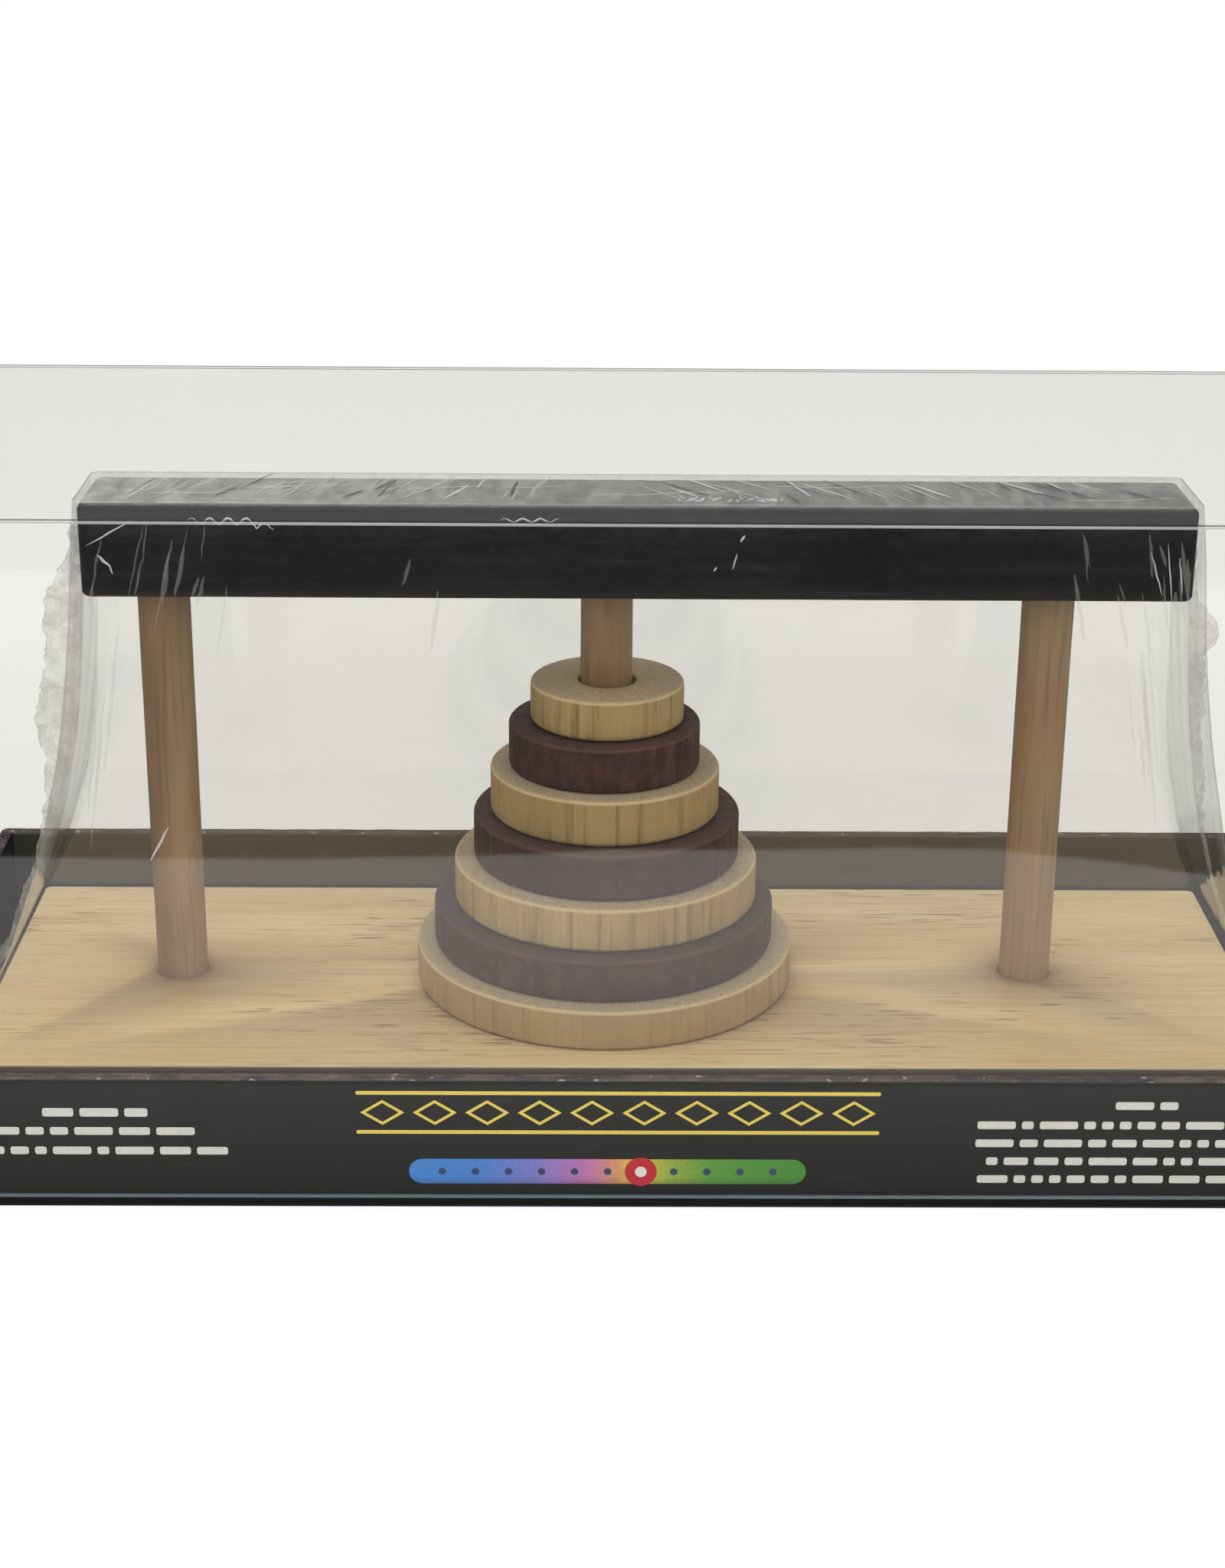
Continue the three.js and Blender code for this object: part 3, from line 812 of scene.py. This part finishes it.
def seam(name, line, side):
    zl = np.array([p[0] for p in line][::-1], float)
    xl = np.array([p[1] for p in line][::-1], float)
    rows, across = 190, 12
    verts, faces = [], []
    for i in range(rows):
        zr = -11 + 104 * i / (rows - 1)
        l, r, *_ = film_at(zr)
        root = (l - FT - 0.3) if side < 0 else (r + FT + 0.3)
        edge = float(np.interp(zr, zl, xl))
        edge += side * (0.55 * wob(0, 3 * side, zr, 0.55) + 0.35 * wob(7, 0, zr, 1.5))
        if side * (edge - root) < 0.8:
            edge = root + side * 0.8
        free = min(1.0, max(0.0, (zr - 2) / 16))
        for k in range(across):
            t = k / (across - 1)
            x = root + (edge - root) * t
            amp = free * t * min(1.0, abs(edge - root) / 6.0)
            y = amp * (1.9 * wob(0, side * 5, zr, 0.17) + 1.0 * wob(t * 3, side * 2, zr, 0.45) + 0.45 * wob(t * 7, 1, zr, 1.1))
            x += 0.35 * amp * wob(t * 5, 9, zr, 0.6)
            verts.append((PX + x, PY + y * 1.5, BT + zr + 0.5 * amp * wob(t * 4, 3, zr, 0.4)))
    for i in range(rows - 1):
        for k in range(across - 1):
            a = i * across + k
            faces.append((a, a + 1, a + across + 1, a + across))
    o = make(name, verts, faces, M_SEAM, "film", angle=180)
    md = o.modifiers.new("thickness", "SOLIDIFY")
    md.thickness, md.offset = 0.12 * MM, 0.0
    bpy.context.view_layer.update()
    apply_modifiers(o)
    return o


seam("film_seam_left", SEAM_L, -1)
seam("film_seam_right", SEAM_R, 1)


# pinched creases that stand on the film; the white ones are partly painted glints
def crease_mesh(name, paths, mat):
    """Each path: points on the film, outward direction there, width and height; a three-sided sliver with pointed ends."""
    verts, faces = [], []
    for pts, outw, w, h in paths:
        pts = [Vector(p) for p in pts]
        b, m = len(verts), len(pts)
        o = Vector(outw).normalized()
        for i, p in enumerate(pts):
            d = (pts[min(i + 1, m - 1)] - pts[max(i - 1, 0)]).normalized()
            sdir = d.cross(o).normalized()
            t = i / (m - 1)
            k = max(0.12, math.sin(math.pi * min(max(t, 0.03), 0.97)) ** 0.6)
            verts += [tuple(p - sdir * w * k / 2 - o * 0.03), tuple(p + o * h * k), tuple(p + sdir * w * k / 2 - o * 0.03)]
        for i in range(m - 1):
            a, c = b + 3 * i, b + 3 * i + 3
            for q in range(3):
                r_ = (q + 1) % 3
                faces.append((a + q, a + r_, c + r_, c + q))
        faces.append((b, b + 2, b + 1))
        e_ = b + 3 * (m - 1)
        faces.append((e_, e_ + 1, e_ + 2))
    return make(name, verts, faces, mat, "film", smooth=False)


def on_top(x, t, lift=0.30):
    """t 0 front edge to 1 back edge of the film's top."""
    return (PX + x, PY - 11.0 + 22.0 * t, BT + 99.6 + FT + lift)


def on_front(x, zr, lift=0.36):
    l, r, f_, b, cr = film_at(zr)
    return (PX + x, PY + f_ - FT - lift * min(1.0, max(0.15, (99.0 - zr) / 5)), BT + zr)


rg = random.Random(23)
soft, glint_creases, shade = [], [], []
# the whitish pulls among them are partly painted highlights, the dark ones painted shade
for k in range(84):                               # fan of pulls across the top, slanting both ways
    x = rg.choice((rg.uniform(-92, -12), rg.uniform(14, 104)))
    t0 = rg.uniform(0.02, 0.45)
    t1 = min(0.97, t0 + rg.uniform(0.25, 0.6))
    lean = (rg.uniform(4, 15) if x < -30 else rg.uniform(1, 7) if x < 10 else rg.uniform(-20, -6)) * (t1 - t0)
    m = 7
    pts = [on_top(x + lean * q / (m - 1) + rg.uniform(-0.12, 0.12), t0 + (t1 - t0) * q / (m - 1)) for q in range(m)]
    pick = rg.random()
    dark = 0.30 if x < 10 else 0.62
    (glint_creases if pick < 0.14 else shade if pick < dark else soft).append((pts, (0, 0, 1), rg.uniform(0.3, 0.8), rg.uniform(0.05, 0.14)))
for k in range(15):                               # long shallow ones
    x = rg.uniform(-88, 92)
    t0 = rg.uniform(0.1, 0.8)
    ln = rg.uniform(8, 24)
    pts = [on_top(x + ln * q / 9, min(0.96, t0 + 0.10 * q / 9 + 0.02 * math.sin(q))) for q in range(10)]
    soft.append((pts, (0, 0, 1), rg.uniform(0.25, 0.5), 0.08))


def front_path(x_a, z_a, x_b, z_b, m=7, jit=0.12):
    return [on_front(x_a + (x_b - x_a) * q / (m - 1) + rg.uniform(-jit, jit), z_a + (z_b - z_a) * q / (m - 1)) for q in range(m)]


OF = (0, -0.95, 0.31)
# white creases on the front, set where glints fall; partly painted glints
glint_creases += [(front_path(-94.6, 90.6, -92.4, 88.6, 5), OF, 0.5, 0.16), (front_path(-92.6, 89.2, -91.6, 87.2, 4), OF, 0.32, 0.12),
         (front_path(24.6, 93.4, 25.4, 94.6, 4, 0.05), OF, 0.45, 0.16), (front_path(23.2, 88.6, 24.0, 91.4, 5, 0.05), OF, 0.32, 0.14),
         (front_path(19.6, 88.2, 20.2, 89.0, 3, 0.03), OF, 0.4, 0.12),
         (front_path(-96.6, 92.2, -88.0, 96.8, 7), OF, 0.3, 0.1), (front_path(101.0, 92.0, 103.2, 84.4, 8), OF, 0.3, 0.12),
         (front_path(104.2, 93.6, 105.0, 83.0, 8), OF, 0.26, 0.1), (front_path(106.4, 91.0, 106.8, 84.6, 7), OF, 0.3, 0.1)]
wave = [on_front(-78 + 16.0 * q / 26, 96.6 + 0.55 * math.sin(q * 1.15) - (0.8 if q > 20 else 0)) for q in range(27)]
glint_creases.append((wave, OF, 0.42, 0.14))
wave = [on_front(-20 + 11.0 * q / 16, 97.0 + 0.35 * math.sin(q * 1.3)) for q in range(17)]
glint_creases.append((wave, OF, 0.34, 0.12))
for k in range(22):                               # knot of small pinches by the bar's front edge
    x = rg.uniform(13, 33)
    t0 = rg.uniform(0.0, 0.14)
    a = rg.uniform(-1, 1)
    pts = [on_top(x + 2.4 * a * q / 4 + rg.uniform(-0.3, 0.3), t0 + (0.05 + 0.10 * rg.random()) * q / 4, 0.34) for q in range(5)]
    glint_creases.append((pts, (0, -0.3, 1), rg.uniform(0.25, 0.5), rg.uniform(0.12, 0.22)))
faint = []
for k in range(30):                               # upright pulls on the front, mostly by the ends
    side = rg.random()
    x = rg.uniform(-97, -70) if side < 0.42 else rg.uniform(84, 108) if side < 0.84 else rg.uniform(-60, 80)
    z_a = rg.uniform(84, 97)
    ln = rg.uniform(3, 13)
    drift = (-0.16 if x < 0 else 0.16) * ln + rg.uniform(-0.8, 0.8)
    faint.append((front_path(x, z_a, x + drift, z_a - ln, 7, 0.16), OF, rg.uniform(0.3, 0.9), rg.uniform(0.05, 0.1)))
for k in range(12):                               # long upright folds below the bar, by the ends
    right_end = rg.random() < 0.6
    x = rg.uniform(97, 109) if right_end else rg.uniform(-98, -90)
    z_a = rg.uniform(55, 79)
    ln = rg.uniform(10, 32)
    drift = (0.10 if right_end else -0.10) * ln
    faint.append((front_path(x, z_a, x + drift, z_a - ln, 12, 0.14), OF, rg.uniform(0.3, 0.8), 0.09))
# a painted glint: a white crease on the film in front of the left post
glint_creases.append((front_path(-81.6, 42.6, -84.9, 36.6, 6, 0.08), OF, 0.5, 0.16))
crease_mesh("film_creases_soft", soft, M_CREASE_SOFT)
crease_mesh("film_creases_faint", faint, M_CREASE_FAINT)
crease_mesh("film_creases", glint_creases, M_GLINT_CREASE)
crease_mesh("film_creases_shade", shade, M_CREASE_DARK)

# ---------------------------------------------------------------- clear lid
CL, CW, CT, C0, C1 = 286.0, 128.7, 0.5, 2.6, 134.0
BEND = 0.55


def bend_profile():
    """(inset, height) from the cut rim up over the bend to the top."""
    p = [(0.0, C0), (0.0, C0 + 0.55), (0.0, C0 + 3.0)]
    p += [(0.0, C0 + 3.0 + (C1 - C0 - 4.4) * k / 10) for k in range(1, 11)]
    p += [(0.0, C1 - BEND)]
    p += [(BEND - BEND * math.cos(math.pi / 2 * k / 5), C1 - BEND + BEND * math.sin(math.pi / 2 * k / 5)) for k in range(1, 6)]
    p += [(1.25, C1), (4.0, C1)]
    return p


outer = bend_profile()
inner = []
for d, zz in outer:
    if zz <= C1 - BEND:
        inner.append((d + CT, min(zz, C1 - BEND - 0.02)))
    else:
        inner.append((max(d, CT + 0.02), min(zz, C1 - CT)))
rings = []
for d, zz in outer:
    rings.append([(px, py, zz) for px, py in round_rect(-CL / 2 + d, CL / 2 - d, -CW / 2 + d, CW / 2 - d, max(1.3 - d, 0.3), 60, 28, 5)])
n_out = len(rings)
inner_rings = []
for d, zz in inner:
    inner_rings.append([(px, py, zz) for px, py in round_rect(-CL / 2 + d, CL / 2 - d, -CW / 2 + d, CW / 2 - d, max(1.3 - d, 0.25), 60, 28, 5)])
v, f = loops_to_mesh(rings)
n = len(rings[0])
v2, f2 = loops_to_mesh(inner_rings)
base = len(v)
v += v2
f += [tuple(base + i for i in reversed(q)) for q in f2]
for k in range(n):                                   # cut rim
    f.append((k, base + k, base + (k + 1) % n, (k + 1) % n))
top_out = (n_out - 1) * n
f.append(tuple(top_out + k for k in range(n)))
f.append(tuple(base + top_out + k for k in reversed(range(n))))


def lid_zone(p):
    c = p.center / MM
    # zone 3 is the painted glint on the cut rim; zones 1 and 2 along the top bend are the painted shade line and the
    # painted glint line
    if c.z < C0 + 0.5:
        return 3
    if c.z > C1 - 0.62:
        inset = min(CL / 2 - abs(c.x), CW / 2 - abs(c.y))
        big = p.area / (MM * MM) > 4000
        if big:
            return 0
        if inset < 0.16 or c.z < C1 - 0.12 and inset < 0.3:
            return 2
        if inset < 1.3:
            return 1
    return 0


cover = make("cover_shell", v, f, [M_COVER, M_EDGE_DARK, M_EDGE_LIGHT, M_RIM_GLINT], "cover", mat_of=lid_zone, angle=50)
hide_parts("clear_cover")


# ---------------------------------------------------------------- stage
def plane(name, verts, faces, mat):
    me = bpy.data.meshes.new(name)
    me.from_pydata([tuple(p) for p in verts], [], faces)
    me.materials.append(mat)
    o = bpy.data.objects.new(name, me)
    bpy.context.scene.collection.objects.link(o)
    return o


def floor_mat():
    s = Mat("stage_floor")
    lp = s.add("ShaderNodeLightPath")
    di = s.add("ShaderNodeBsdfDiffuse", {"Color": (0.86, 0.86, 0.86, 1)})
    em = s.add("ShaderNodeEmission", {"Color": (1, 1, 1, 1), "Strength": 0.92})
    ad = s.add("ShaderNodeBsdfDiffuse", {"Color": (0.10, 0.10, 0.10, 1)})
    both = s.add("ShaderNodeAddShader")
    s.nt.links.new(em.outputs[0], both.inputs[0])
    s.nt.links.new(ad.outputs[0], both.inputs[1])
    m = s.add("ShaderNodeMixShader")
    s.nt.links.new(lp.outputs["Is Camera Ray"], m.inputs[0])
    s.nt.links.new(di.outputs[0], m.inputs[1])
    s.nt.links.new(both.outputs[0], m.inputs[2])
    return s.finish(m)


floor = plane("stage_floor", [(-3, -3, -0.0003), (3, -3, -0.0003), (3, 3, -0.0003), (-3, 3, -0.0003)], [(0, 1, 2, 3)], floor_mat())
floor.visible_glossy = False

# the bright table top in front that the lid's front mirrors; it ends in a slightly wavy line
EDGE = [(-900, -239.0), (-153.3, -239.3), (-129.0, -238.5), (-77.7, -239.0), (-49.2, -240.7), (-20.5, -242.8), (-1.2, -245.8), (37.5, -247.2),
        (66.7, -248.7), (95.6, -247.4), (123.3, -239.6), (132.3, -236.0), (139.2, -232.8), (149.4, -229.7), (900, -229.0)]


def mirror_mat():
    s = Mat("stage_mirrored_table")
    y = s.add("ShaderNodeSeparateXYZ", {"Vector": s.coords().outputs[0]}).outputs["Y"]
    em = s.add("ShaderNodeEmission", {"Color": (1, 0.985, 0.965, 1), "Strength": s.ramp(s.range(y, -0.245, -0.07, 0.0, 1.0, smooth=False),
                                [(0.0, (1.0, 1.0, 1.0)), (0.42, (0.95, 0.95, 0.95)), (0.66, (0.44, 0.44, 0.44)), (1.0, (0.19, 0.19, 0.19))])})
    return s.finish(em)


ev = []
for x, y in EDGE:
    ev.append((x * MM, -0.066, 0.0))
    ev.append((x * MM, y * MM, 0.0))
ef = [(2 * k, 2 * k + 1, 2 * k + 3, 2 * k + 2) for k in range(len(EDGE) - 1)]
mirror = plane("stage_mirrored_table", ev, ef, mirror_mat())
for a in ("visible_camera", "visible_diffuse", "visible_shadow", "visible_transmission", "visible_volume_scatter"):
    setattr(mirror, a, False)

# world: white for the camera, even for diffuse light, and dark in front below for reflections
w = bpy.data.worlds.new("studio")
bpy.context.scene.world = w
w.use_nodes = True
nt = w.node_tree
nt.nodes.clear()
out = nt.nodes.new("ShaderNodeOutputWorld")
lp = nt.nodes.new("ShaderNodeLightPath")
tc = nt.nodes.new("ShaderNodeTexCoord")
sp = nt.nodes.new("ShaderNodeSeparateXYZ")
nt.links.new(tc.outputs["Generated"], sp.inputs[0])


def wrange(v_, a, b, c, d):
    n_ = nt.nodes.new("ShaderNodeMapRange")
    n_.interpolation_type = "SMOOTHSTEP"
    nt.links.new(v_, n_.inputs["Value"])
    for key, val in (("From Min", a), ("From Max", b), ("To Min", c), ("To Max", d)):
        if isinstance(val, bpy.types.NodeSocket):
            nt.links.new(val, n_.inputs[key])
        else:
            n_.inputs[key].default_value = val
    return n_.outputs[0]


front_part = wrange(sp.outputs["Z"], 0.22, 0.80, 0.02, 0.55)
back_part = wrange(sp.outputs["Z"], 0.15, 0.95, 0.42, 0.55)
gl_strength = wrange(sp.outputs["Y"], -0.25, 0.25, front_part, back_part)
bg_g = nt.nodes.new("ShaderNodeBackground")
nt.links.new(gl_strength, bg_g.inputs["Strength"])
bg_d = nt.nodes.new("ShaderNodeBackground")
bg_d.inputs["Color"].default_value = (1.0, 0.99, 0.97, 1)
bg_d.inputs["Strength"].default_value = 0.95
bg_c = nt.nodes.new("ShaderNodeBackground")
bg_c.inputs["Strength"].default_value = 1.0
m1 = nt.nodes.new("ShaderNodeMixShader")
nt.links.new(lp.outputs["Is Glossy Ray"], m1.inputs[0])
nt.links.new(bg_d.outputs[0], m1.inputs[1])
nt.links.new(bg_g.outputs[0], m1.inputs[2])
m2 = nt.nodes.new("ShaderNodeMixShader")
nt.links.new(lp.outputs["Is Camera Ray"], m2.inputs[0])
nt.links.new(m1.outputs[0], m2.inputs[1])
nt.links.new(bg_c.outputs[0], m2.inputs[2])
nt.links.new(m2.outputs[0], out.inputs["Surface"])


def area(name, loc, target, size, size_y, power, colour=(1, 1, 1)):
    d = bpy.data.lights.new(name, "AREA")
    d.shape, d.size, d.size_y, d.energy, d.color = "RECTANGLE", size, size_y, power, colour
    o = bpy.data.objects.new(name, d)
    o.location = loc
    o.rotation_euler = (Vector(target) - Vector(loc)).to_track_quat("-Z", "Y").to_euler()
    bpy.context.scene.collection.objects.link(o)
    return o


area("softbox_top", (-0.15, -0.10, 1.05), (0, 0, 0.03), 1.5, 1.1, 6.5, (1, 0.99, 0.97))
fill = area("softbox_front", (0.25, -0.95, 0.75), (0, 0, 0.05), 1.2, 0.8, 2.4, (1, 0.99, 0.98))
fill.visible_glossy = False

# ---------------------------------------------------------------- camera
yaw, pitch, roll = math.radians(0.70474), math.radians(20.64571), math.radians(0.48177)
fwd = Vector((math.sin(yaw) * math.cos(pitch), math.cos(yaw) * math.cos(pitch), -math.sin(pitch)))
rgt = Vector((math.cos(yaw), -math.sin(yaw), 0))
up = rgt.cross(fwd)
r2 = rgt * math.cos(roll) + up * math.sin(roll)
u2 = up * math.cos(roll) - rgt * math.sin(roll)
cam_d = bpy.data.cameras.new("camera")
cam_d.sensor_width, cam_d.lens = 36.0, 62.117
cam_d.clip_start, cam_d.clip_end = 0.01, 20
cam = bpy.data.objects.new("camera", cam_d)
rot = Matrix((r2, u2, -fwd)).transposed()
cam.matrix_world = Matrix.Translation((-0.009162, -0.515048, 0.256063)) @ rot.to_4x4()
bpy.context.scene.collection.objects.link(cam)
sc = bpy.context.scene
sc.camera = cam
sc.view_settings.view_transform = "Standard"
sc.view_settings.look = "None"
sc.cycles.transparent_max_bounces = 40
sc.cycles.max_bounces = 12
sc.cycles.glossy_bounces = 6
sc.cycles.diffuse_bounces = 4
sc.cycles.transmission_bounces = 8
sc.cycles.use_denoising = True
sc.cycles.caustics_reflective = False
sc.cycles.caustics_refractive = False
